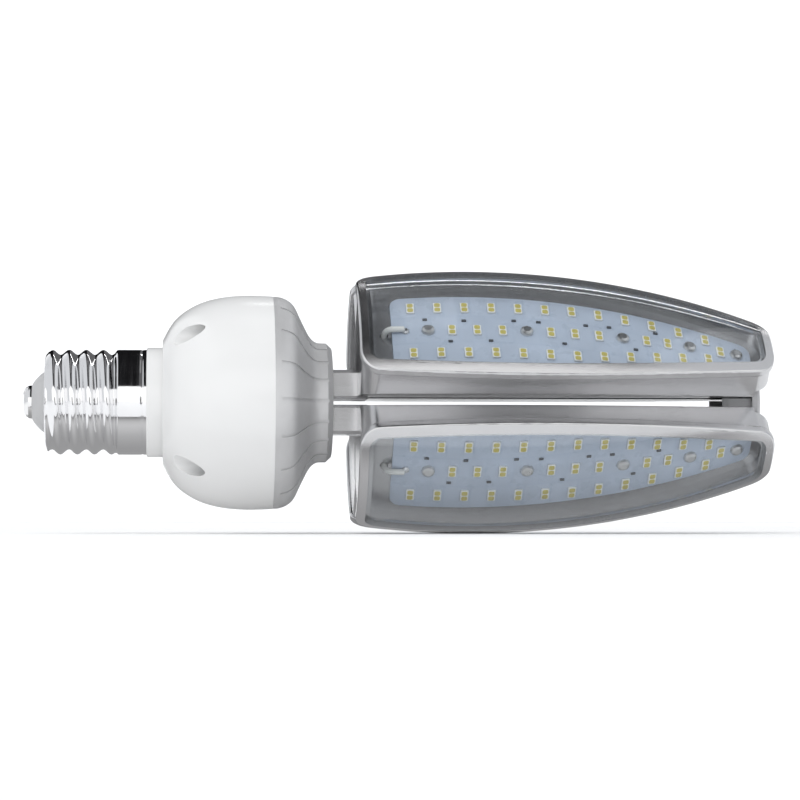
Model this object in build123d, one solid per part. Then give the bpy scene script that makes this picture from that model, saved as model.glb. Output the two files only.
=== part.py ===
from build123d import *
import math
import os

os.makedirs("parts", exist_ok=True)

# ---------------------------------------------------------------------------
# Screw-base street lamp bulb with four glazed petals, lying along +X.
# Origin: tip of the centre contact, on the lamp's axis. +X runs from the cap
# to the tip, +Z is up. Millimetres.
# ---------------------------------------------------------------------------

# cap, standard 39 mm screw size
PITCH = 6.35            # thread pitch
CAP_X0 = 8.2            # closed end of the screw shell
CAP_X1 = 45.8           # open end of the screw shell
SKIRT_X0 = 35.0         # where the plain skirt starts
CAP_ROOT_R = 17.8       # thread root, outside
SKIRT_R = 19.65         # plain skirt, outside
THREAD_CREST_R = 19.6
SHELL_T = 0.5           # sheet thickness

# driver housing
NOSE_X0 = 20.3
COLLAR1_X, COLLAR1_R = (38.5, 45.8), 18.8
COLLAR2_X, COLLAR2_R = (45.8, 51.8), 20.5
BOWL_X0, BOWL_X1 = 51.8, 92.8
BOWL_T = 2.4
BOWL = [(0, 23.2), (1.9, 26.9), (4.3, 30.5), (8.5, 34.2), (14, 37.2),
        (20, 39.0), (26, 39.9), (33, 40.2), (41, 39.9)]
RING_X = (81.8, 92.8)   # clamp ring inside the bowl's mouth
RING_R = (30.0, 34.5)
SCREW_PCR = 34.0        # pitch radius of the four housing screws
POCKET_R = 3.8
SEAT_X = 78.0           # floor of the screw pockets

# aluminium base
BASE_X0, BASE_X1 = 92.8, 114.8
BASE_T = 2.2
BASE = [(0, 39.8), (4.8, 38.9), (7.3, 37.1), (9.7, 32.8), (12.1, 27.9),
        (14.0, 24.6), (15.8, 22.95), (17.6, 22.45), (20.0, 22.4), (21.9, 20.6), (22.0, 20.4)]
RIBS = 18               # meridional grooves in the bell
FOOT_U = 10.4           # foot screws, distance from the axis
LEAD_U = 4.6            # petal leads, distance from the axis

# petals: everything is drawn for one petal pointing along +Z (u), with t = Y
PETAL_ROLLS = (45, 135, 225, 315)
BAR_X, BAR_R, BAR_ARC = 165.0, 50.0, 345.5      # outer barrel of revolution
LEAF_X, LEAF_HALF, LEAF_ARC = 172.0, 27.5, 357.0  # plan outline of a petal
TRAY_X0, TRAY_X1 = 124.0, 278.0
LEAF_CORNER = (7.5, 8.0)
BODY_X1 = 272.0         # end of the hollow back of the petal
WALL = 2.2
GAP = 2.0               # from a petal's flank to the plane between two petals
U_IN = 6.0              # inner edge of the petal's back
FLOOR_U, FLOOR_ARC = 35.0, 432.0                # tray floor, bent along X
FLOOR_T = 2.0
RIM_H, RIM_OUT, RIM_IN = 3.4, 0.9, 4.2
FOOT_SIDE = 11.0
FOOT_C = 9.19
BOARD_X = (136.0, 271.5)
BOARD_PEAK_X, BOARD_HALF, BOARD_ARC = 160.0, 19.0, 481.0
BOARD_T = 1.6
COVER_T = 1.67
BOARD_SCREW_X = (149.5, 186.0, 222.0, 247.5, 265.5)


# ---------------------------------------------------------------------------
# helpers
# ---------------------------------------------------------------------------
def solid_rev(points):
    """Solid of revolution about the lamp's axis from (x, r) corners."""
    wire = Polyline(*[(x, 0, r) for x, r in points], close=True)
    return revolve(make_face(wire), axis=Axis.X, revolution_arc=360)


def curve_rev(points):
    """Solid of revolution under a smooth curve through (x, r) points."""
    pts = [Vector(x, 0, r) for x, r in points]
    edges = [Spline(*pts)]
    a, b = pts[0], pts[-1]
    if b.Z > 1e-6:
        edges.append(Line(b, (b.X, 0, 0)))
    edges.append(Line((b.X, 0, 0), (a.X, 0, 0)))
    edges.append(Line((a.X, 0, 0), a))
    return revolve(make_face(edges), axis=Axis.X, revolution_arc=360)


def inset(points, d):
    """(x, r) points moved by d along the curve's inward normal."""
    out = []
    for i, (x, r) in enumerate(points):
        x0, r0 = points[max(i - 1, 0)]
        x1, r1 = points[min(i + 1, len(points) - 1)]
        n = math.hypot(x1 - x0, r1 - r0)
        out.append((x + d * (r1 - r0) / n, r - d * (x1 - x0) / n))
    return out


def rod(x0, x1, r, y=0.0, z=0.0):
    return Pos((x0 + x1) / 2, y, z) * Rot(0, 90, 0) * Cylinder(r, x1 - x0)


def block(x, y, z):
    return Pos((x[0] + x[1]) / 2, (y[0] + y[1]) / 2, (z[0] + z[1]) / 2) * Box(
        x[1] - x[0], y[1] - y[0], z[1] - z[0])


def group(items):
    return Compound(children=[s for item in items for s in item.solids()])


def one(shape):
    """The single solid of a shape."""
    return max(shape.solids(), key=lambda s: s.volume)


def rolled(shape, angle):
    return Rot(angle, 0, 0) * shape


def helix_ridge(x0, turns, crest, tip, foot):
    """Rounded helical ridge about the lamp's axis: crest radius crest, tip
    rounding tip, 45 degree flanks running down to radius foot."""
    c = crest - tip
    s = tip * math.sin(math.radians(45))
    half = s + (c + s - foot)
    path = Helix(PITCH, PITCH * turns, crest)
    profile = make_face([
        Line((foot, 0, -half), (c + s, 0, -s)),
        ThreePointArc((c + s, 0, -s), (crest, 0, 0), (c + s, 0, s)),
        Line((c + s, 0, s), (foot, 0, half)),
        Line((foot, 0, half), (foot, 0, -half))])
    ridge = sweep(profile, path=path, is_frenet=True)
    return Pos(x0, 0, 0) * Rot(0, 90, 0) * ridge


def bar_r(x, d=0.0):
    return BAR_R - BAR_ARC + math.sqrt((BAR_ARC - d) ** 2 - (x - BAR_X) ** 2)


def barrel(d, x0=112.0, x1=286.0):
    """Barrel of revolution, d inside the petals' outer surface."""
    xm = (x0 + x1) / 2
    face = make_face([
        ThreePointArc((x0, 0, bar_r(x0, d)), (xm, 0, bar_r(xm, d)), (x1, 0, bar_r(x1, d))),
        Line((x1, 0, bar_r(x1, d)), (x1, 0, 0)),
        Line((x1, 0, 0), (x0, 0, 0)),
        Line((x0, 0, 0), (x0, 0, bar_r(x0, d)))])
    return revolve(face, axis=Axis.X, revolution_arc=360)


def arc_outline(x0, x1, peak_x, peak, arc, radii):
    """Flat outline between two arcs, closed by straight ends, corners rounded."""
    def half(x):
        return peak - arc + math.sqrt(arc ** 2 - (x - peak_x) ** 2)
    a, b = half(x0), half(x1)
    face = make_face([
        ThreePointArc((x0, a), (peak_x, peak), (x1, b)),
        Line((x1, b), (x1, -b)),
        ThreePointArc((x1, -b), (peak_x, -peak), (x0, -a)),
        Line((x0, -a), (x0, a))])
    sk = Sketch() + face
    sk = fillet([v for v in sk.vertices() if v.X < x0 + 0.01], radii[0])
    return fillet([v for v in sk.vertices() if v.X > x1 - 0.01], radii[1])


def leaf(d, u0=0.0, u1=60.0):
    """Prism of the petal's plan outline, d inside it."""
    sk = arc_outline(TRAY_X0 + d, TRAY_X1 - d, LEAF_X, LEAF_HALF - d, LEAF_ARC - d,
                     (LEAF_CORNER[0] - d, LEAF_CORNER[1] - d))
    return Pos(0, 0, u0) * extrude(sk, u1 - u0)


def wedge(offset, u_in, x0, x1):
    """Quadrant wedge whose flanks lie offset inside the planes between petals."""
    g = offset * math.sqrt(2)
    a, b = u_in - g, 60.0 - g
    face = make_face(Polyline((x0, -a, u_in), (x0, a, u_in), (x0, b, 60),
                              (x0, -b, 60), close=True))
    return extrude(face, x1 - x0, dir=(1, 0, 0))


def floor_u(x, arc=FLOOR_ARC):
    return FLOOR_U - FLOOR_ARC + math.sqrt(arc ** 2 - (x - BAR_X) ** 2)


def floor_prism(arc, below, far, x0=110.0, x1=290.0, half=40.0):
    """What lies below, or above, the bent floor surface of radius arc."""
    xm = (x0 + x1) / 2
    face = make_face([
        ThreePointArc((x0, -half, floor_u(x0, arc)), (xm, -half, floor_u(xm, arc)),
                      (x1, -half, floor_u(x1, arc))),
        Line((x1, -half, floor_u(x1, arc)), (x1, -half, far)),
        Line((x1, -half, far), (x0, -half, far)),
        Line((x0, -half, far), (x0, -half, floor_u(x0, arc)))])
    return extrude(face, 2 * half, dir=(0, 1, 0))


def on_floor(x, t, h):
    """Frame on the bent floor at x, t across, h above it, +Z its normal."""
    phi = math.degrees(math.asin((x - BAR_X) / FLOOR_ARC))
    return Pos(BAR_X, 0, FLOOR_U - FLOOR_ARC) * Rot(0, phi, 0) * Pos(0, t, FLOOR_ARC + h)


def pan_screw(head_r, head_h, shank_r, length, socket=True):
    """Pan head screw along +Z: head below z = 0, shank above. Cross recess."""
    pts = [(0, -head_h), (head_r * 0.55, -head_h), (head_r * 0.88, -head_h * 0.72),
           (head_r, -head_h * 0.3), (head_r, 0), (shank_r, 0), (shank_r, length - 0.6),
           (shank_r - 0.5, length), (0, length)]
    wire = Polyline(*[(r, 0, z) for r, z in pts], close=True)
    body = revolve(make_face(wire), axis=Axis.Z, revolution_arc=360)
    if socket:
        w, d = head_r * 0.26, head_h * 0.55
        for a in (0, 90):
            body -= Pos(0, 0, -head_h + d / 2 - 0.01) * Rot(0, 0, a) * Box(head_r * 1.15, w, d)
    return one(body)


def tube(points, radii, r):
    """Round lead along straight runs joined by tangent arcs."""
    path = FilletPolyline(*points, radius=radii)
    d = Vector(*points[1]) - Vector(*points[0])
    section = Plane(origin=points[0], z_dir=d) * Circle(r)
    return sweep(section, path=path), path.length


# ---------------------------------------------------------------------------
# screw cap
# ---------------------------------------------------------------------------
def build_cap():
    env_out = solid_rev([(CAP_X0, 0), (CAP_X0, 17.0), (CAP_X0 + 0.5, 18.0), (CAP_X0 + 1.4, 18.9),
                         (CAP_X0 + 2.8, SKIRT_R), (CAP_X1, SKIRT_R), (CAP_X1, 0)])
    e = SHELL_T
    env_in = solid_rev([(CAP_X0 + e, 0), (CAP_X0 + e, 16.8), (CAP_X0 + 1.0, 17.6),
                        (CAP_X0 + 1.7, 18.3), (CAP_X0 + 3.1, SKIRT_R - e),
                        (CAP_X1 + 1, SKIRT_R - e), (CAP_X1 + 1, 0)])
    start = 1.0
    out_ridge = helix_ridge(start, 6.2, THREAD_CREST_R, 1.75, CAP_ROOT_R - 0.45)
    in_ridge = helix_ridge(start, 6.2, THREAD_CREST_R - 0.55, 1.5, CAP_ROOT_R - 1.0)
    out = ((rod(-10, 62, CAP_ROOT_R) + out_ridge) & env_out) + rod(SKIRT_X0, CAP_X1, SKIRT_R)
    inner = ((rod(-10, 62, CAP_ROOT_R - e) + in_ridge) & env_in) + rod(
        SKIRT_X0 + e, CAP_X1 + 1, SKIRT_R - e)
    shell = out - inner - rod(CAP_X0 - 1, CAP_X0 + 2, 12.0)
    return one(shell)


def build_insulator():
    body = solid_rev([(3.2, 2.3), (3.2, 6.4), (3.9, 7.6), (5.0, 9.0), (6.4, 10.4), (8.2, 11.7),
                      (8.8, 11.7), (8.8, 14.5), (12.0, 14.5), (12.0, 2.3)])
    return one(body)


def build_contact():
    pts = [(0, 0), (0, 3.4), (0.35, 4.6), (1.0, 5.5), (1.9, 6.05), (2.6, 6.2), (3.2, 6.2),
           (3.2, 2.1), (12.6, 2.1), (13.0, 1.6), (13.0, 0)]
    return one(solid_rev(pts))


# ---------------------------------------------------------------------------
# driver housing, clamp ring, screws, seal
# ---------------------------------------------------------------------------
def build_housing():
    bowl = [(BOWL_X0 + x, r) for x, r in BOWL]
    nose_core = 16.2
    thread = rod(-10, 62, nose_core) + helix_ridge(1.0, 6.2, 17.9, 1.2, nose_core - 0.45)
    body = thread & solid_rev([(NOSE_X0, 0), (NOSE_X0, 15.6), (NOSE_X0 + 2.4, 18.0),
                               (COLLAR1_X[0] + 0.5, 18.0), (COLLAR1_X[0] + 0.5, 0)])
    body += rod(COLLAR1_X[0], COLLAR1_X[1] + 0.5, COLLAR1_R)
    body += chamfered(COLLAR2_X[0], COLLAR2_X[1] + 0.6, COLLAR2_R, 0.5)
    body += curve_rev(bowl)
    cavity = inset(bowl, BOWL_T)
    cavity = [(x, r) for x, r in cavity if x > BOWL_X0 + BOWL_T]
    cavity[-1] = (BOWL_X1 + 1.0, cavity[-1][1])
    body -= curve_rev(cavity)
    body -= rod(BOWL_X0 + BOWL_T, cavity[0][0] + 0.5, cavity[0][1] - 0.6)
    body -= rod(NOSE_X0 - 1, BOWL_X0 + BOWL_T, 14.0)
    bowl_outer = curve_rev(bowl)
    for a in PETAL_ROLLS:
        boss = (rod(BOWL_X0 + 1, RING_X[0], POCKET_R + 1.7, 0, SCREW_PCR)
                & bowl_outer) - rod(0, 200, 29.0)
        boss = rolled(boss, a)
        pocket = rolled(rod(BOWL_X0 - 3, SEAT_X, POCKET_R, 0, SCREW_PCR), a)
        hole = rolled(rod(SEAT_X - 1, RING_X[0] + 1, 2.2, 0, SCREW_PCR), a)
        body = body + boss
        body = body - pocket - hole
    # slots that hold the driver board in the nose
    for s in (-1, 1):
        for z in ((-5.9, -4.4), (-9.2, -7.7)):
            y = sorted((s * 10.6, s * 15.0))
            body += block((24, 44), y, z) & rod(20, 50, 15.0)
    return one(body)


def chamfered(x0, x1, r, c):
    return solid_rev([(x0, 0), (x0, r - c), (x0 + c, r), (x1, r), (x1, 0)])


def build_clamp_ring():
    ring = rod(*RING_X, RING_R[1]) - rod(RING_X[0] - 1, RING_X[1] + 1, RING_R[0])
    for a in PETAL_ROLLS:
        lug = rod(RING_X[0], RING_X[1], 4.2, 0, 33.0) & rod(*RING_X, 37.2)
        ring = ring + rolled(lug, a)
    for a in PETAL_ROLLS:
        ring = ring - rolled(rod(RING_X[0] - 1, RING_X[1] + 1, 2.2, 0, SCREW_PCR), a)
    # shallow step on the side of the base that carries the seal
    ring -= rod(RING_X[1] - 2.0, RING_X[1] + 1, 31.6)
    return one(ring)


def build_housing_screws():
    screw = Pos(SEAT_X, 0, SCREW_PCR) * Rot(0, 90, 0) * pan_screw(3.4, 2.6, 1.95, 20.0)
    return group([rolled(screw, a) for a in PETAL_ROLLS])


def build_seal():
    return one(Pos(BASE_X0 + 0.85, 0, 0) * Rot(0, 90, 0) * Torus(37.95, 0.75))


# ---------------------------------------------------------------------------
# aluminium base
# ---------------------------------------------------------------------------
def build_base():
    outer_pts = [(BASE_X0 + x, r) for x, r in BASE]
    outer = curve_rev(outer_pts[:8]) + solid_rev(
        [(outer_pts[7][0] - 0.01, 0), outer_pts[7], outer_pts[8], outer_pts[9], outer_pts[10],
         (BASE_X1, 0)])
    grooves_env = outer - (curve_rev(inset(outer_pts[:8], 0.45)) + solid_rev(
        [(outer_pts[6][0], 0), (outer_pts[6][0], 22.0), (BASE_X1 + 1, 22.0), (BASE_X1 + 1, 0)]))
    body = outer
    inner = inset(outer_pts[:8], BASE_T)
    inner[0] = (BASE_X0 - 1.0, inner[0][1])
    body -= curve_rev(inner)
    body -= rod(inner[-1][0] - 1.0, BASE_X1 - 2.5, inner[-1][1] - 0.3)
    # four bosses that take the housing screws
    for a in PETAL_ROLLS:
        boss = rod(BASE_X0, BASE_X0 + 9, 4.4, 0, 33.6) & outer
        body += rolled(boss, a)
    for a in PETAL_ROLLS:
        body -= rolled(rod(BASE_X0 - 1, BASE_X0 + 6.2, 2.0, 0, SCREW_PCR), a)
        body -= rolled(rod(BASE_X1 - 4, BASE_X1 + 1, 2.2, 0, FOOT_U), a)
        body -= rolled(rod(BASE_X1 - 4, BASE_X1 + 1, 1.4, 0, LEAD_U), a)
    # seal groove
    body -= rod(BASE_X0 - 1, BASE_X0 + 1.65, 38.75) - rod(BASE_X0 - 2, BASE_X0 + 3, 37.15)
    # cast grooves down the bell and along the neck
    for i in range(RIBS):
        blade = block((BASE_X0 + 2.4, BASE_X1 + 0.5), (-0.55, 0.55), (19.0, 41.0))
        body -= rolled(blade, (i + 0.5) * 360 / RIBS) & grooves_env
    return one(body)


def build_foot_screws():
    screw = Pos(BASE_X1 - 2.5, 0, FOOT_U) * Rot(0, 90, 0) * pan_screw(3.3, 2.4, 1.95, 8.3)
    return group([rolled(screw, a) for a in PETAL_ROLLS])


# ---------------------------------------------------------------------------
# petals, boards, covers
# ---------------------------------------------------------------------------
LEAD_PATH = [(91.2, 0, LEAD_U), (121.8, 0, LEAD_U), (131.5, 0, 13.0), (133.2, 0, 24.0),
             (133.2, 0, 36.95), (140.6, 0, 37.25)]
LEAD_RADII = [8.0, 8.0, 20.0, 3.0]


def build_petal():
    hull = leaf(0) & barrel(0)
    hull = hull & wedge(GAP, U_IN, TRAY_X0, TRAY_X1)
    hull -= block((BODY_X1, 290), (-40, 40), (0, 18.6))
    # rounded rim
    band = barrel(0) - barrel(RIM_H)
    ring = (leaf(-RIM_OUT, 10, 60) & band) - leaf(RIM_IN, 0, 61)
    try:
        edges = [e for e in ring.edges() if e.length > 60]
        ring = fillet(edges, 1.0)
    except Exception as err:
        print("rim left square:", err)
    # tray and hollow back
    tray = leaf(WALL) & floor_prism(FLOOR_ARC, False, 70)
    duct = leaf(WALL) & floor_prism(FLOOR_ARC - FLOOR_T, True, 0)
    duct = duct & wedge(2 * GAP, U_IN + 2.5, TRAY_X0 + WALL, BODY_X1 - 2.0)
    body = hull - tray - duct + ring
    body -= leaf(2.5) & (barrel(-3) - barrel(1.8))
    # foot
    foot = Pos((BASE_X1 + 128) / 2, 0, FOOT_C) * Rot(45, 0, 0) * Box(128 - BASE_X1, FOOT_SIDE, FOOT_SIDE)
    foot = chamfer(foot.edges().filter_by(Axis.X), 1.2)
    foot -= leaf(WALL) & wedge(2 * GAP, U_IN + 2.5, TRAY_X0 + WALL, 140)
    body += foot
    body -= rod(BASE_X1 - 1, BASE_X1 + 6.4, 2.0, 0, FOOT_U)
    body -= tube(LEAD_PATH, LEAD_RADII, 1.45)[0]
    # screw bosses under the floor
    for x in BOARD_SCREW_X:
        body += on_floor(x, 0, -FLOOR_T - 1.6) * Cylinder(2.8, 3.6)
    for x in BOARD_SCREW_X:
        body -= on_floor(x, 0, -2.5) * Cylinder(1.3, 7.0)
    # pressed grooves along the flanks
    for s in (-1, 1):
        for u in (14.0, 22.5):
            t = u - GAP * math.sqrt(2)
            r = 1.0 if u < 20 else 0.9
            body -= rod(136, 262 if u < 20 else 246, r, s * (t + 0.2), u - 0.2)
    # slot and eye holes in the tip wall
    body -= block((BODY_X1 - 3, BODY_X1 + 1), (-3.9, 3.9), (10.6, 15.8))
    for s in (-1, 1):
        body -= rod(BODY_X1 - 3, BODY_X1 + 1, 1.2, s * 6.2, 15.6)
    return one(body)


def build_board():
    sk = arc_outline(*BOARD_X, BOARD_PEAK_X, BOARD_HALF, BOARD_ARC, (4.0, 4.5))
    slab = extrude(sk, 60)
    slab = slab & floor_prism(FLOOR_ARC, False, 70) & floor_prism(FLOOR_ARC + BOARD_T, True, 0)
    for x in BOARD_SCREW_X:
        slab -= on_floor(x, 0, 0.8) * Cylinder(1.5, 6)
    return one(slab)


def board_half(x):
    return BOARD_HALF - BOARD_ARC + math.sqrt(BOARD_ARC ** 2 - (x - BOARD_PEAK_X) ** 2)


OUTER_LED_X = [143.5 + 10.05 * i for i in range(12)]
CENTRE_LED_X = [158.3, 167.6, 177.0, 195.0, 204.0, 213.0, 231.0, 239.0, 259.3]


def led_places():
    out = []
    for x in OUTER_LED_X:
        t = min(12.4, board_half(x) - 4.4)
        out += [(x, t), (x, -t)]
    return out + [(x, 0.0) for x in CENTRE_LED_X]


def build_leds():
    chip = Box(3.0, 5.2, 0.8)
    chip = chamfer(chip.edges().filter_by(Axis.Z), 0.3)
    return [on_floor(x, t, BOARD_T + 0.4) * chip for x, t in led_places()]


def build_board_screws():
    screw = Rot(180, 0, 0) * pan_screw(2.5, 1.7, 1.2, 6.0, False)
    return [on_floor(x, 0, BOARD_T) * screw for x in BOARD_SCREW_X]


def build_cover():
    return one(leaf(2.6, 10, 60) & (barrel(0.1) - barrel(0.1 + COVER_T)))


def build_end_cap():
    disc = curve_rev([(274.2, 16.5), (274.9, 15.9), (275.9, 13.2), (276.7, 9.0), (277.2, 4.5), (277.4, 0.0)])
    disc += rod(272.3, 274.3, 16.5)
    cup = curve_rev([(273.9, 14.9), (274.6, 12.6), (275.3, 8.6), (275.8, 4.3), (276.0, 0.0)]) + rod(
        272.0, 274.0, 14.9)
    body = disc - cup
    for a in PETAL_ROLLS:
        lug = block((263.5, 275.2), (-3.5, 3.5), (11.0, 15.4)) - block((262, 273.6), (-2.1, 2.1), (10.0, 14.0))
        body += rolled(lug, a) & rod(250, 276, 16.5)
    for a in (0, 90, 180, 270):
        hook = block((261.5, 275.2), (-1.6, 1.6), (12.6, 13.9))
        barb = extrude(make_face(Polyline((261.5, -1.6, 13.8), (261.5, -1.6, 14.4),
                                          (263.4, -1.6, 15.2), (263.4, -1.6, 13.8), close=True)),
                       3.2, dir=(0, 1, 0))
        body += rolled(hook + barb, a)
    for a in (0, 90):
        body += rolled(block((273.0, 275.5), (-0.8, 0.8), (-14.5, 14.5)), a)
    return one(body)


# ---------------------------------------------------------------------------
# driver and leads
# ---------------------------------------------------------------------------
PCB_Z = (-7.6, -6.0)


nodes = {}


def keep(name, shape):
    nodes[name] = shape
    export_step(shape, "parts/" + name + ".step")
    sol = shape.solids()
    print(name, len(sol), round(sum(s.volume for s in sol), 1), all(s.is_valid for s in sol))


def build_all():
    keep("screw_shell", build_cap())
    keep("cap_insulator", build_insulator())
    keep("centre_contact", build_contact())
    keep("driver_housing", build_housing())
    keep("clamp_ring", build_clamp_ring())
    keep("housing_screws", build_housing_screws())
    keep("seal_ring", build_seal())
    keep("base", build_base())
    keep("foot_screws", build_foot_screws())

    petal, board, cover = build_petal(), build_board(), build_cover()
    leds, screws = build_leds(), build_board_screws()
    lead, length = tube(LEAD_PATH, LEAD_RADII, 1.1)
    print("petal lead length", round(length, 1), "volume", round(lead.volume, 1),
          "section x length", round(math.pi * 1.21 * length, 1))
    for i, a in enumerate(PETAL_ROLLS, 1):
        keep("petal_%d" % i, rolled(petal, a))
        keep("led_board_%d" % i, rolled(board, a))
        keep("cover_%d" % i, rolled(cover, a))
        keep("led_chips_%d" % i, group([rolled(s, a) for s in leds]))
        keep("board_screws_%d" % i, group([rolled(s, a) for s in screws]))
        keep("petal_lead_%d" % i, one(rolled(lead, a)))
    keep("end_cap", build_end_cap())

    # driver: board, transformer, capacitors, choke, fuse, terminal, mains leads
    z0, z1 = PCB_Z
    pcb = Pos(0, 0, z0) * extrude(make_face(Polyline(
        (22.5, -11.6), (54.5, -11.6), (58.5, -17.0), (64.0, -23.5), (73.0, -27.5), (91.0, -27.5),
        (91.0, 27.5), (73.0, 27.5), (64.0, 23.5), (58.5, 17.0), (54.5, 11.6), (22.5, 11.6),
        close=True)), z1 - z0)
    keep("driver_board", one(pcb))
    core = block((60, 80), (-11, 11), (z1 + 1.2, z1 + 19.2)) - block(
        (64, 76), (-12, 12), (z1 + 0.5, z1 + 16.2)) + block((67.6, 72.4), (-11, 11), (z1 + 1.2, z1 + 17))
    coil = block((64.2, 75.8), (-13.5, 13.5), (z1, z1 + 16.0)) - block(
        (67.4, 72.6), (-11.2, 11.2), (z1 + 1.0, z1 + 17.2))
    keep("transformer_core", one(core))
    keep("transformer_coil", one(coil))
    cap = Pos(66.0, -18.6, z1) * Cylinder(4.6, 16, align=(Align.CENTER, Align.CENTER, Align.MIN))
    cap = chamfer(cap.edges().sort_by(Axis.Z)[-1], 0.6)
    keep("smoothing_capacitor", one(cap))
    film = fillet(block((76.5, 90), (15.5, 22.0), (z1, z1 + 12)).edges().filter_by(Axis.Z), 0.8)
    keep("film_capacitor", one(film))
    choke = Pos(46.0, 0, z1) * Cylinder(6.0, 11, align=(Align.CENTER, Align.CENTER, Align.MIN))
    choke -= Pos(46.0, 0, z1 + 2) * (Cylinder(7.0, 7, align=(Align.CENTER, Align.CENTER, Align.MIN))
                                     - Cylinder(4.6, 7, align=(Align.CENTER, Align.CENTER, Align.MIN)))
    keep("choke", one(choke))
    keep("fuse", one(rod(28.5, 38.5, 2.0, -6.4, z1 + 2.0)))
    term = block((84.0, 91.0), (-6.2, 6.2), (z1, 6.2))
    for a in PETAL_ROLLS:
        term -= rolled(rod(89.4, 92, 1.3, 0, LEAD_U), a)
    # the four leads start against the bottom of their sockets
    keep("output_terminal", one(term))
    live, l1 = tube([(13.0, 0, 0), (18.4, 0, 0), (22.6, 0.4, -3.2), (27.4, 0.4, -4.85)], [5.0, 5.0], 0.9)
    keep("live_lead", one(live))
    ntr, l2 = tube([(15.2, 12.4, 8.2), (19.8, 11.6, 7.0), (24.0, 9.2, -0.4), (26.6, 8.4, -4.9), (31.4, 8.0, -5.05)],
                   [4.0, 4.0, 1.8], 0.9)
    keep("neutral_lead", one(ntr))
    print("mains leads", round(l1, 1), round(l2, 1))


if __name__ == "__main__":
    build_all()
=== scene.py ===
import math

import bpy
import bmesh
import numpy as np
from mathutils import Matrix, Vector


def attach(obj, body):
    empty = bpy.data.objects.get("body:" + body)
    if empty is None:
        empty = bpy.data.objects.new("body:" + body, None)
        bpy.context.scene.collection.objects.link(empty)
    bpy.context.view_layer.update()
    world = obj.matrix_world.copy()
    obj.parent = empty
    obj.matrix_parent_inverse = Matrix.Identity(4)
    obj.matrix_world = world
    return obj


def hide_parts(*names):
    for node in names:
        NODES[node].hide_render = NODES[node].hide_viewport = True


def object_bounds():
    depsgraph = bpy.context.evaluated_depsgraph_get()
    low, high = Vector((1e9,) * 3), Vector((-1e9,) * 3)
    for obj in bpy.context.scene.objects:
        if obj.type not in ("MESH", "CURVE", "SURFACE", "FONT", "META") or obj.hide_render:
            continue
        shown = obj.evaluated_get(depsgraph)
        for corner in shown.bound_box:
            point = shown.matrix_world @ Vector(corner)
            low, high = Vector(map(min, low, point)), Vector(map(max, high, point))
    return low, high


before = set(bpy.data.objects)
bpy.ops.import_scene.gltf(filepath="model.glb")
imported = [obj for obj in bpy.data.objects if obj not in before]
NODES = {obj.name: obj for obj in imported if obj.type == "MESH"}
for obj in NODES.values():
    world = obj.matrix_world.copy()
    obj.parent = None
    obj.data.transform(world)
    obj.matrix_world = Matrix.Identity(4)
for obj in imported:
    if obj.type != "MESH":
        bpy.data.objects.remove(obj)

CAD_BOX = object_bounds()
ROOT = "root"
ROLLS = (45, 135, 225, 315)
MM = 0.001


# ---------------------------------------------------------------------------
# material helpers: every number that is the same all over sits on the shader
# ---------------------------------------------------------------------------
class Mat:
    def __init__(self, name, color, rough=0.4, metal=0.0, **sockets):
        self.m = bpy.data.materials.new(name)
        self.m.use_nodes = True
        self.t = self.m.node_tree
        self.p = self.t.nodes["Principled BSDF"]
        self.out = self.t.nodes["Material Output"]
        self.p.inputs["Base Color"].default_value = (*color, 1.0)
        self.p.inputs["Roughness"].default_value = rough
        self.p.inputs["Metallic"].default_value = metal
        for key, value in sockets.items():
            self.p.inputs[key.replace("_", " ")].default_value = value
        self.coord = self.node("ShaderNodeTexCoord")

    def node(self, kind, **props):
        n = self.t.nodes.new(kind)
        for key, value in props.items():
            setattr(n, key, value)
        return n

    def link(self, a, b):
        self.t.links.new(a, b)
        return self

    def place(self, scale):
        mapping = self.node("ShaderNodeMapping")
        mapping.inputs["Scale"].default_value = scale
        self.link(self.coord.outputs["Object"], mapping.inputs["Vector"])
        return mapping.outputs["Vector"]

    def noise(self, scale, detail=4.0, rough=0.55, where=None):
        n = self.node("ShaderNodeTexNoise")
        n.inputs["Scale"].default_value = 1.0
        n.inputs["Detail"].default_value = detail
        n.inputs["Roughness"].default_value = rough
        scale = scale if isinstance(scale, tuple) else (scale, scale, scale)
        self.link(where or self.place(scale), n.inputs["Vector"])
        return n.outputs["Fac"]

    def spread(self, value, low, high, a=0.3, b=0.7):
        n = self.node("ShaderNodeMapRange")
        n.inputs["From Min"].default_value = a
        n.inputs["From Max"].default_value = b
        n.inputs["To Min"].default_value = low
        n.inputs["To Max"].default_value = high
        self.link(value, n.inputs["Value"])
        return n.outputs["Result"]

    def ramp(self, value, stops):
        n = self.node("ShaderNodeValToRGB")
        el = n.color_ramp.elements
        while len(el) < len(stops):
            el.new(0.5)
        for e, (pos, col) in zip(el, stops):
            e.position = pos
            e.color = (*col, 1.0)
        self.link(value, n.inputs["Fac"])
        return n.outputs["Color"]

    def math(self, op, a, b=None):
        n = self.node("ShaderNodeMath", operation=op)
        for i, v in enumerate((a, b)):
            if v is None:
                continue
            if isinstance(v, (int, float)):
                n.inputs[i].default_value = v
            else:
                self.link(v, n.inputs[i])
        return n.outputs[0]

    def bump(self, height, strength, distance):
        n = self.node("ShaderNodeBump")
        n.inputs["Strength"].default_value = strength
        n.inputs["Distance"].default_value = distance
        self.link(height, n.inputs["Height"])
        self.link(n.outputs["Normal"], self.p.inputs["Normal"])
        return self

    def rough(self, value):
        return self.link(value, self.p.inputs["Roughness"])

    def color(self, value):
        return self.link(value, self.p.inputs["Base Color"])


def shade(c, k):
    return tuple(min(1.0, max(0.0, v * k)) for v in c)


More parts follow.
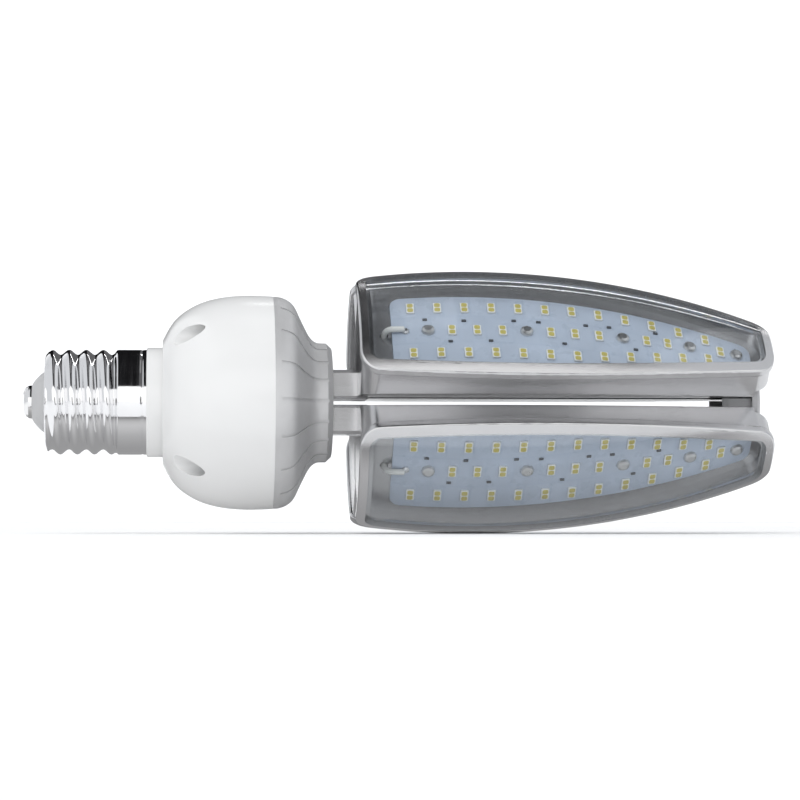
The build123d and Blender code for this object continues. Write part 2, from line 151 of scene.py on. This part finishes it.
def metal(name, color, low, high, grain, streak, depth, variation=0.06, metallic=1.0):
    m = Mat(name, color, (low + high) / 2, metallic)
    s = m.noise(streak, 5.0, 0.6)
    g = m.noise(grain, 3.0, 0.6)
    m.rough(m.spread(s, low, high))
    m.color(m.ramp(m.noise(60.0, 3.0), [(0.3, shade(color, 1 - variation)), (0.7, shade(color, 1 + variation))]))
    m.bump(m.math("ADD", s, g), 0.5, depth)
    return m.m


def plastic(name, color, low, high, grain=1800.0, depth=0.00002, variation=0.03, **sockets):
    m = Mat(name, color, (low + high) / 2, 0.0, **sockets)
    m.rough(m.spread(m.noise(45.0, 4.0), low, high))
    m.color(m.ramp(m.noise(22.0, 3.0), [(0.3, shade(color, 1 - variation)), (0.7, shade(color, 1 + variation))]))
    m.bump(m.noise(grain, 3.0), 0.35, depth)
    return m.m


MATS = {}
MATS["cap"] = metal("plated_cap", (0.86, 0.86, 0.87), 0.045, 0.13, 900.0, (700.0, 30.0, 30.0), 0.000004, 0.02)
MATS["contact"] = metal("plated_contact", (0.84, 0.84, 0.84), 0.07, 0.16, 900.0, 300.0, 0.000003, 0.03)
MATS["insulator"] = plastic("grey_insulator", (0.47, 0.47, 0.475), 0.35, 0.5, 1200.0, 0.00004, 0.05)
MATS["housing"] = plastic("white_moulding", (0.78, 0.78, 0.775), 0.16, 0.26, 2200.0, 0.000008, 0.012)
MATS["seal"] = plastic("clear_silicone", (0.8, 0.82, 0.82), 0.2, 0.35, 1500.0, 0.00001, 0.03)
MATS["base"] = metal("cast_base", (0.58, 0.58, 0.585), 0.38, 0.52, 1400.0, 420.0, 0.00004, 0.05, 0.35)
MATS["petal"] = metal("anodised_petal", (0.62, 0.62, 0.63), 0.22, 0.26, 900.0, (12.0, 420.0, 420.0), 0.0000016, 0.02)
MATS["screw"] = metal("zinc_screw", (0.72, 0.72, 0.72), 0.26, 0.36, 1800.0, 700.0, 0.0000015, 0.04)
MATS["end_cap"] = plastic("silver_moulding", (0.47, 0.47, 0.48), 0.3, 0.45, 1700.0, 0.00002, 0.05)
MATS["circuit"] = plastic("green_board", (0.03, 0.16, 0.07), 0.25, 0.42, 900.0, 0.00003, 0.2)
MATS["ferrite"] = plastic("ferrite", (0.03, 0.03, 0.033), 0.5, 0.7, 1400.0, 0.00006, 0.2)
MATS["winding"] = metal("copper_winding", (0.72, 0.36, 0.16), 0.25, 0.4, 1500.0, (2200.0, 60.0, 60.0), 0.00008, 0.08)
MATS["sleeve"] = plastic("capacitor_sleeve", (0.02, 0.03, 0.05), 0.2, 0.35, 900.0, 0.00002, 0.2)
MATS["film"] = plastic("film_box", (0.55, 0.42, 0.05), 0.3, 0.4, 900.0, 0.00003, 0.06)
MATS["fuse"] = plastic("fuse_tube", (0.7, 0.66, 0.6), 0.3, 0.42, 900.0, 0.00003, 0.06)
MATS["terminal"] = plastic("terminal_block", (0.05, 0.16, 0.08), 0.35, 0.5, 900.0, 0.00003, 0.1)
MATS["lead_live"] = plastic("live_sleeve", (0.32, 0.03, 0.02), 0.35, 0.5, 900.0, 0.00003, 0.1)
MATS["lead_neutral"] = plastic("neutral_sleeve", (0.02, 0.06, 0.3), 0.35, 0.5, 900.0, 0.00003, 0.1)
MATS["lead_petal"] = plastic("white_sleeve", (0.72, 0.72, 0.7), 0.35, 0.5, 900.0, 0.00003, 0.05)


def board_material():
    """Pale solder mask over an aluminium board, with faint copper under it."""
    base = (0.49, 0.55, 0.65)
    m = Mat("pale_solder_mask", base, 0.3, 0.0)
    blot = m.ramp(m.noise(70.0, 4.0), [(0.3, shade(base, 0.93)), (0.7, shade(base, 1.07))])
    brick = m.node("ShaderNodeTexBrick")
    brick.inputs["Scale"].default_value = 1.0
    brick.inputs["Color1"].default_value = (1.0, 1.0, 1.0, 1)
    brick.inputs["Color2"].default_value = (0.95, 0.96, 0.97, 1)
    brick.inputs["Mortar"].default_value = (0.92, 0.94, 0.96, 1)
    brick.inputs["Mortar Size"].default_value = 0.03
    brick.inputs["Brick Width"].default_value = 1.0
    brick.inputs["Row Height"].default_value = 1.0
    m.link(m.place((99.5, 99.5, 99.5)), brick.inputs["Vector"])
    mix = m.node("ShaderNodeMix", data_type="RGBA", blend_type="MULTIPLY")
    mix.inputs["Factor"].default_value = 1.0
    m.link(blot, mix.inputs["A"])
    m.link(brick.outputs["Color"], mix.inputs["B"])
    m.color(mix.outputs["Result"])
    m.rough(m.spread(m.noise(160.0, 4.0), 0.22, 0.4))
    m.bump(m.math("ADD", m.noise(1600.0, 2.0), m.math("MULTIPLY", brick.outputs["Fac"], -1.0)), 0.4, 0.00003)
    return m.m


def film_material():
    """Clear sheet: passes what is behind it and mirrors more at a glancing angle."""
    m = Mat("clear_cover", (0.95, 0.97, 0.98), 0.03, 0.0)
    t = m.t
    t.nodes.remove(m.p)
    clear = m.node("ShaderNodeBsdfTransparent")
    clear.inputs["Color"].default_value = (0.955, 0.965, 0.97, 1.0)
    shine = m.node("ShaderNodeBsdfGlossy")
    shine.inputs["Color"].default_value = (1.0, 1.0, 1.0, 1.0)
    facing = m.node("ShaderNodeLayerWeight")
    facing.inputs["Blend"].default_value = 0.5
    power = m.math("POWER", facing.outputs["Facing"], 4.0)
    amount = m.math("ADD", m.math("MULTIPLY", power, 0.8), 0.045)
    smear = m.spread(m.noise(30.0, 4.0), 0.012, 0.05)
    m.link(smear, shine.inputs["Roughness"])
    wave = m.node("ShaderNodeBump")
    wave.inputs["Strength"].default_value = 0.25
    wave.inputs["Distance"].default_value = 0.00006
    m.link(m.noise(45.0, 2.0), wave.inputs["Height"])
    m.link(wave.outputs["Normal"], shine.inputs["Normal"])
    mix = m.node("ShaderNodeMixShader")
    m.link(amount, mix.inputs[0])
    m.link(clear.outputs[0], mix.inputs[1])
    m.link(shine.outputs[0], mix.inputs[2])
    m.link(mix.outputs[0], m.out.inputs["Surface"])
    return m.m


def phosphor_material():
    base = (0.56, 0.48, 0.13)
    m = Mat("yellow_phosphor", base, 0.45, 0.0)
    m.color(m.ramp(m.noise(900.0, 3.0), [(0.3, shade(base, 0.86)), (0.7, shade(base, 1.1))]))
    m.rough(m.spread(m.noise(700.0, 3.0), 0.35, 0.55))
    m.bump(m.noise(3500.0, 3.0), 0.5, 0.00003)
    return m.m


MATS["board"] = board_material()
MATS["cover"] = film_material()
MATS["phosphor"] = phosphor_material()
MATS["package"] = plastic("white_package", (0.80, 0.80, 0.77), 0.3, 0.45, 2500.0, 0.00002, 0.04)
MATS["mark"] = plastic("dark_part", (0.07, 0.075, 0.085), 0.3, 0.5, 2500.0, 0.00002, 0.1)
MATS["solder"] = metal("solder_pad", (0.70, 0.71, 0.73), 0.2, 0.4, 2500.0, 1200.0, 0.00002, 0.06)


def dress(node, key):
    o = NODES[node]
    o.data.materials.clear()
    o.data.materials.append(MATS[key])
    return o


LOOK = {"screw_shell": "cap", "cap_insulator": "insulator", "centre_contact": "contact",
        "driver_housing": "housing", "clamp_ring": "housing", "housing_screws": "screw",
        "seal_ring": "seal", "base": "base", "foot_screws": "screw", "end_cap": "end_cap",
        "driver_board": "circuit", "transformer_core": "ferrite", "transformer_coil": "winding",
        "smoothing_capacitor": "sleeve", "film_capacitor": "film", "choke": "ferrite",
        "fuse": "fuse", "output_terminal": "terminal", "live_lead": "lead_live",
        "neutral_lead": "lead_neutral"}
for i in range(1, 5):
    LOOK["petal_%d" % i] = "petal"
    LOOK["led_board_%d" % i] = "board"
    LOOK["cover_%d" % i] = "cover"
    LOOK["led_chips_%d" % i] = "package"
    LOOK["board_screws_%d" % i] = "screw"
    LOOK["petal_lead_%d" % i] = "lead_petal"
for node, key in LOOK.items():
    dress(node, key)


# ---------------------------------------------------------------------------
# pieces made here: rolled thread, LED packages, small parts on the boards
# ---------------------------------------------------------------------------
BAR_X, FLOOR_U, FLOOR_ARC = 165.0, 35.0, 432.0
BOARD_PEAK_X, BOARD_HALF, BOARD_ARC, BOARD_T = 160.0, 19.0, 481.0, 1.6
BOARD_SCREW_X = (149.5, 186.0, 222.0, 247.5, 265.5)
OUTER_LED_X = [143.5 + 10.05 * k for k in range(12)]
CENTRE_LED_X = [158.3, 167.6, 177.0, 195.0, 204.0, 213.0, 231.0, 239.0, 259.3]


def board_half(x):
    return BOARD_HALF - BOARD_ARC + math.sqrt(BOARD_ARC ** 2 - (x - BOARD_PEAK_X) ** 2)


def on_board(x, t, h, roll):
    """Matrix, in millimetres, on a petal's board: x along, t across, h above its top."""
    phi = math.asin((x - BAR_X) / FLOOR_ARC)
    m = Matrix.Translation((BAR_X, 0, FLOOR_U - FLOOR_ARC)) @ Matrix.Rotation(phi, 4, "Y")
    m = m @ Matrix.Translation((0, t, FLOOR_ARC + BOARD_T + h))
    return Matrix.Rotation(math.radians(roll), 4, "X") @ m


def make_object(name, verts, faces, mats, index=None, smooth=True, sharp=None):
    mesh = bpy.data.meshes.new(name)
    mesh.from_pydata([tuple(v) for v in verts], [], faces)
    for key in mats:
        mesh.materials.append(MATS[key])
    if index is not None:
        mesh.polygons.foreach_set("material_index", index)
    mesh.polygons.foreach_set("use_smooth", [smooth] * len(faces))
    mesh.update()
    if sharp is not None:
        mesh.set_sharp_from_angle(angle=math.radians(sharp))
    o = bpy.data.objects.new(name, mesh)
    bpy.context.scene.collection.objects.link(o)
    return o


def copies(base_verts, base_faces, base_index, matrices):
    verts, faces, index = [], [], []
    for m in matrices:
        k = len(verts)
        verts += [(m @ v) * MM for v in base_verts]
        faces += [tuple(k + i for i in f) for f in base_faces]
        index += base_index
    return verts, faces, index


def rounded_loop(w, h, r, n, z):
    """Corner points of a rounded rectangle, counter-clockwise."""
    out = []
    for cx, cy, a0 in ((w / 2 - r, h / 2 - r, 0), (-w / 2 + r, h / 2 - r, 90),
                       (-w / 2 + r, -h / 2 + r, 180), (w / 2 - r, -h / 2 + r, 270)):
        for k in range(n + 1):
            a = math.radians(a0 + 90 * k / n)
            out.append(Vector((cx + r * math.cos(a), cy + r * math.sin(a), z)))
    return out


def led_base():
    """One package: bevelled white body and two domed light fields, at z 0 to 0.8."""
    verts, faces, index = [], [], []

    def ring(points):
        k = len(verts)
        verts.extend(points)
        return list(range(k, k + len(points)))

    def bridge(a, b, mat):
        n = len(a)
        for i in range(n):
            faces.append((a[i], a[(i + 1) % n], b[(i + 1) % n], b[i]))
            index.append(mat)

    loops = [ring(rounded_loop(2.9, 5.1, 0.3, 2, 0.0)), ring(rounded_loop(3.0, 5.2, 0.3, 2, 0.12)),
             ring(rounded_loop(3.0, 5.2, 0.3, 2, 0.6)), ring(rounded_loop(2.74, 4.94, 0.3, 2, 0.76))]
    faces.append(tuple(reversed(loops[0])))
    index.append(0)
    for a, b in zip(loops, loops[1:]):
        bridge(a, b, 0)
    faces.append(tuple(loops[-1]))
    index.append(0)
    for t in (-1.24, 1.24):
        prev = None
        for w, z in ((2.15, 0.76), (2.1, 0.80), (1.95, 0.83), (1.5, 0.86), (0.8, 0.88)):
            cur = ring([p + Vector((0, t, 0)) for p in rounded_loop(w, w, w * 0.3, 3, z)])
            if prev:
                bridge(prev, cur, 1)
            prev = cur
        faces.append(tuple(prev))
        index.append(1)
    return verts, faces, index


def box_base(w, h, z, bevel):
    verts, faces = [], []
    loops = []
    for ww, hh, zz in ((w, h, 0), (w, h, z - bevel), (w - bevel * 2, h - bevel * 2, z)):
        k = len(verts)
        verts.extend(rounded_loop(ww, hh, 0.1, 2, zz))
        loops.append(list(range(k, len(verts))))
    faces.append(tuple(reversed(loops[0])))
    for a, b in zip(loops, loops[1:]):
        n = len(a)
        for i in range(n):
            faces.append((a[i], a[(i + 1) % n], b[(i + 1) % n], b[i]))
    faces.append(tuple(loops[-1]))
    return verts, faces


def dome_base(r, h, n=20, rows=6):
    verts, faces = [], []
    for j in range(rows):
        a = math.radians(90 * j / rows)
        verts += [Vector((r * math.cos(a) * math.cos(2 * math.pi * k / n),
                          r * math.cos(a) * math.sin(2 * math.pi * k / n), h * math.sin(a))) for k in range(n)]
    verts.append(Vector((0, 0, h)))
    faces.append(tuple(reversed(range(n))))
    for j in range(rows - 1):
        for k in range(n):
            faces.append((j * n + k, j * n + (k + 1) % n, (j + 1) * n + (k + 1) % n, (j + 1) * n + k))
    for k in range(n):
        faces.append(((rows - 1) * n + k, (rows - 1) * n + (k + 1) % n, rows * n))
    return verts, faces


LED_PLACES = []
for x in OUTER_LED_X:
    t = min(12.4, board_half(x) - 4.4)
    LED_PLACES += [(x, t), (x, -t)]
LED_PLACES += [(x, 0.0) for x in CENTRE_LED_X]

for i, roll in enumerate(ROLLS, 1):
    v, f, m = copies(*led_base(), [on_board(x, t, 0.0, roll) for x, t in LED_PLACES])
    leds = make_object("led_packages_%d" % i, v, f, ("package", "phosphor"), m, True, 35)
    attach(leds, ROOT)
    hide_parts("led_chips_%d" % i)

    # small dark parts beside the centre row
    bv, bf = box_base(1.7, 0.95, 0.5, 0.1)
    spots = [on_board(x, t, 0.02, roll) for x, t in (
        (148.6, 6.2), (163.0, 5.4), (172.3, -5.6), (190.8, 5.6), (199.6, -5.6), (208.6, 5.5),
        (226.4, -5.4), (235.0, 5.2), (181.6, 5.8), (217.4, 5.6), (157.4, -6.0))]
    v, f, m = copies(bv, bf, [0] * len(bf), spots)
    marks = make_object("board_resistors_%d" % i, v, f, ("mark",), m, True, 35)
    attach(marks, ROOT)

    # solder where the lead meets the board
    dv, df = dome_base(1.55, 1.25)
    v, f, m = copies(dv, df, [0] * len(df), [on_board(141.2, 0.0, 0.02, roll)])
    pad = make_object("lead_solder_%d" % i, v, f, ("solder",), m, True, 50)
    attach(pad, ROOT)


def smooth_step(a, b, x):
    t = min(1.0, max(0.0, (x - a) / (b - a)))
    return t * t * (3 - 2 * t)


def make_shell():
    """The rolled thread: a rounded right-hand wave in sheet metal, then the skirt."""
    pitch, crest, root, x0, x1 = 6.35, 19.6, 17.75, 8.2, 45.8
    env = [(8.2, 17.0), (8.35, 17.55), (8.7, 18.05), (9.3, 18.7), (10.2, 19.3), (11.4, 19.65), (46.0, 19.65)]
    n = 224

    def limit(x):
        for (a, ra), (b, rb) in zip(env, env[1:]):
            if x <= b:
                return ra + (rb - ra) * (x - a) / (b - a)
        return env[-1][1]

    def radius(x, turn):
        d = (x - 1.0) / pitch - turn
        wave = 0.5 * (1 + math.cos(2 * math.pi * d))
        r = root + (crest - root) * wave ** 0.9
        s = smooth_step(33.8, 35.4, x)
        r = r + (19.65 - r) * s
        if x > 35.4:
            r = 19.65 - 0.16 * math.exp(-((x - 44.3) / 0.35) ** 2)
        return min(r, limit(x))

    xs = [x0 + v for v in (0.0, 0.08, 0.2, 0.36, 0.56, 0.8)]
    while xs[-1] < 35.6:
        xs.append(xs[-1] + 0.27)
    xs += [37.0, 39.0, 41.0, 43.0, 43.5, 43.8, 44.0, 44.15, 44.3, 44.45, 44.6, 44.8, 45.1, 45.5, 45.7, 45.8]
    rings = [[(x0 + 0.02, 12.05)] * n, [(x0, 12.4)] * n, [(x0, 14.6)] * n, [(x0, 16.6)] * n]
    for x in xs:
        rings.append([(x, radius(x, k / n)) for k in range(n)])
    rings.append([(45.8, 19.22)] * n)
    for x in reversed(xs[3:-1:2]):
        rings.append([(max(x, x0 + 0.5), radius(x, k / n) - 0.45) for k in range(n)])
    rings.append([(x0 + 0.5, 14.6)] * n)
    rings.append([(x0 + 0.5, 12.2)] * n)
    verts, faces = [], []
    for ring in rings:
        for k, (x, r) in enumerate(ring):
            a = 2 * math.pi * k / n
            verts.append((x * MM, r * math.sin(a) * MM, -r * math.cos(a) * MM))
    m = len(rings)
    for j in range(m):
        for k in range(n):
            a, b = j * n, ((j + 1) % m) * n
            faces.append((a + k, b + k, b + (k + 1) % n, a + (k + 1) % n))
    o = make_object("rolled_screw_shell", verts, faces, ("cap",), None, True, 50)
    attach(o, ROOT)
    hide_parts("screw_shell")
    return o


make_shell()

# ---------------------------------------------------------------------------
# floor, light and camera
# ---------------------------------------------------------------------------
FLOOR_Z = CAD_BOX[0].z


def flat_mat(name, color):
    m = Mat(name, color, 0.85)
    m.color(m.ramp(m.noise(3.0, 3.0), [(0.3, shade(color, 0.985)), (0.7, shade(color, 1.01))]))
    m.bump(m.noise(900.0, 3.0), 0.2, 0.00004)
    return m.m


def make_floor():
    """A pale floor that sweeps up behind into a backdrop."""
    bm = bmesh.new()
    rows = []
    profile = [(-9.0, 0.0), (2.2, 0.0)]
    for k in range(1, 13):
        a = math.radians(90 * k / 12)
        profile.append((2.2 + 1.6 * math.sin(a), 1.6 - 1.6 * math.cos(a)))
    profile.append((3.8, 7.0))
    for y, z in profile:
        rows.append([bm.verts.new((x, y, FLOOR_Z + z)) for x in (-9.0, 0.0, 9.0)])
    for a, b in zip(rows, rows[1:]):
        for k in range(2):
            bm.faces.new((a[k], a[k + 1], b[k + 1], b[k]))
    mesh = bpy.data.meshes.new("studio_floor")
    bm.to_mesh(mesh)
    bm.free()
    for p in mesh.polygons:
        p.use_smooth = True
    o = bpy.data.objects.new("studio_floor", mesh)
    bpy.context.scene.collection.objects.link(o)
    mesh.materials.append(flat_mat("pale_floor", (0.96, 0.96, 0.96)))
    return o


def area(name, where, aim, size, power, color=(1, 1, 1), spread=180.0):
    data = bpy.data.lights.new(name, "AREA")
    data.shape = "RECTANGLE"
    data.size, data.size_y = size
    data.energy = power
    data.color = color
    data.spread = math.radians(spread)
    o = bpy.data.objects.new(name, data)
    bpy.context.scene.collection.objects.link(o)
    o.location = where
    o.rotation_euler = (Vector(aim) - Vector(where)).to_track_quat("-Z", "Y").to_euler()
    return o


def card(name, verts, faces, color, strength=1.0):
    """A sheet that only shows in reflections."""
    mesh = bpy.data.meshes.new(name)
    mesh.from_pydata(verts, [], faces)
    o = bpy.data.objects.new(name, mesh)
    bpy.context.scene.collection.objects.link(o)
    m = bpy.data.materials.new(name)
    m.use_nodes = True
    m.node_tree.nodes.clear()
    em = m.node_tree.nodes.new("ShaderNodeEmission")
    em.inputs["Color"].default_value = (*color, 1)
    em.inputs["Strength"].default_value = strength
    out = m.node_tree.nodes.new("ShaderNodeOutputMaterial")
    m.node_tree.links.new(em.outputs[0], out.inputs["Surface"])
    mesh.materials.append(m)
    o.visible_camera = False
    o.visible_diffuse = False
    o.visible_shadow = False
    o.visible_transmission = False
    return o


def arc_card(name, r, a0, a1, x0, x1, color, strength=1.0, steps=24):
    """Part of a tube about X: angle 0 is the camera's side, 90 is overhead."""
    verts, faces = [], []
    for k in range(steps + 1):
        a = math.radians(a0 + (a1 - a0) * k / steps)
        for x in (x0, x1):
            verts.append((x, -r * math.cos(a), r * math.sin(a)))
    for k in range(steps):
        faces.append((2 * k, 2 * k + 1, 2 * k + 3, 2 * k + 2))
    return card(name, verts, faces, color, strength)


def floor_card(name, x0, x1, y0, y1, color, strength=1.0):
    z = FLOOR_Z + 0.0008
    return card(name, [(x0, y0, z), (x1, y0, z), (x1, y1, z), (x0, y1, z)], [(0, 1, 2, 3)], color, strength)


make_floor()
MID = (0.1395, 0.0, 0.0)
world = bpy.data.worlds.new("studio")
bpy.context.scene.world = world
world.use_nodes = True
world.node_tree.nodes["Background"].inputs["Color"].default_value = (0.95, 0.97, 1.0, 1)
world.node_tree.nodes["Background"].inputs["Strength"].default_value = 0.78

key = area("key_softbox", (-0.25, -0.75, 0.95), MID, (0.9, 0.6), 4.2, (1.0, 0.99, 0.97))
key.visible_glossy = False
area("front_fill", (0.25, -1.7, 0.30), MID, (1.9, 1.0), 3.2)
top = area("top_strip", (0.15, 0.1, 0.85), MID, (1.1, 0.12), 1.3)
top.visible_glossy = False
back = area("back_strip", (0.2, 0.95, 0.35), MID, (1.3, 0.25), 1.2)
back.visible_glossy = False
area("backdrop_wash", (0.14, 1.6, 1.9), (0.14, 3.6, 0.6), (4.0, 1.2), 34.0)

# what the bright metal mirrors: dark overhead, white in front, and painted shade near the floor (grey sheets
# standing in for the lamp's shadow)
arc_card("dark_over", 1.30, 33.0, 179.6, -0.42, 0.05, (0.008, 0.008, 0.009))
arc_card("dim_over", 1.30, 33.0, 179.6, 0.05, 0.95, (0.13, 0.13, 0.135))
arc_card("soft_over", 1.22, 66.0, 104.0, 0.10, 0.243, (0.44, 0.44, 0.45))
arc_card("dark_band", 1.40, -1.5, 10.0, 0.165, 0.75, (0.04, 0.04, 0.04))
floor_card("dark_floor", 0.13, 0.62, -1.42, -0.45, (0.06, 0.06, 0.06))
arc_card("white_front", 1.45, -1.5, 33.5, -2.4, 2.6, (1.0, 1.0, 1.0), 1.25)
arc_card("edge_strip", 1.00, 128.5, 130.5, 0.09, 0.86, (1.0, 1.0, 1.0), 6.0, 4)
# painted shade: grey sheets just above the floor, seen only in reflections, darken the floor's mirror image under
# and in front of the lamp in place of its shadow
FLOOR_SHADE_TONES = ((-0.082, 0.18), (-0.076, 0.26), (-0.068, 0.42), (-0.058, 0.56), (-0.046, 0.62), (-0.034, 0.56),
         (-0.020, 0.46), (-0.006, 0.40), (0.010, 0.36), (0.20, 0.36))
k = 0
for (y0, v0), (y1, v1) in zip(FLOOR_SHADE_TONES, FLOOR_SHADE_TONES[1:]):
    for j in range(4):
        v = v0 + (v1 - v0) * (j + 0.5) / 4
        floor_card("painted_floor_shade_%02d" % k, -0.035, 0.315, y0 + (y1 - y0) * j / 4, y0 + (y1 - y0) * (j + 1) / 4,
                   (v, v, v * 1.01))
        k += 1

view = bpy.context.scene.view_settings
view.view_transform = "Standard"
view.look = "None"
view.exposure = 0.0
view.gamma = 1.0

AZ, EL, DIST = math.radians(-4.4), math.radians(-2.2), 1.10
cam_data = bpy.data.cameras.new("camera")
cam_data.lens = 131.2
cam_data.sensor_width = 36.0
cam = bpy.data.objects.new("camera", cam_data)
bpy.context.scene.collection.objects.link(cam)
back = Vector((math.sin(AZ) * math.cos(EL), -math.cos(AZ) * math.cos(EL), math.sin(EL)))
target = Vector((0.1410, 0.0, 0.0012))
cam.location = target + back * DIST
cam.rotation_euler = (-back).to_track_quat("-Z", "Y").to_euler()
cam_data.clip_start, cam_data.clip_end = 0.01, 50.0
bpy.context.scene.camera = cam
